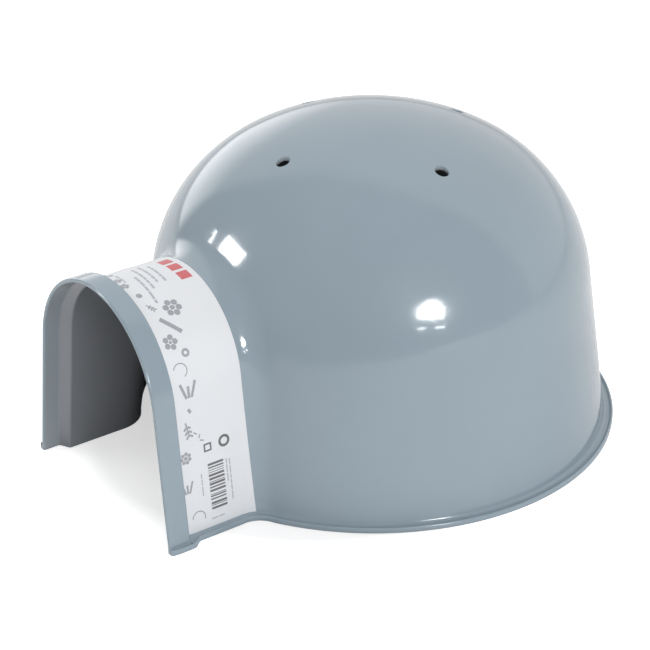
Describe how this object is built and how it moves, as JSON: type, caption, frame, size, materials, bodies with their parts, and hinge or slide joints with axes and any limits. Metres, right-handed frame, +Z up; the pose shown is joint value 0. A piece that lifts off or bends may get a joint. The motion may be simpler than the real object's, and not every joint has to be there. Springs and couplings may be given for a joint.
{
  "type": "small-animal hideaway",
  "caption": "Moulded dome hideaway for guinea pigs or dwarf rabbits, with an arched entrance tunnel, open base, vent holes and a wrap label.",
  "frame": {"origin": "middle of the footprint's bounding box, on the ground plane under the flange", "axes": "+Z up, -Y out of the doorway, X across; the part is symmetric left to right"},
  "size_m": [0.268, 0.306, 0.17],
  "materials": {
    "shell_plastic": "glossy grey-blue moulded plastic",
    "label_paper": "white self-adhesive paper, printed"
  },
  "bodies": {
    "root": {"shell": "shell_plastic", "wrap_label": "label_paper"}
  },
  "joints": []
}
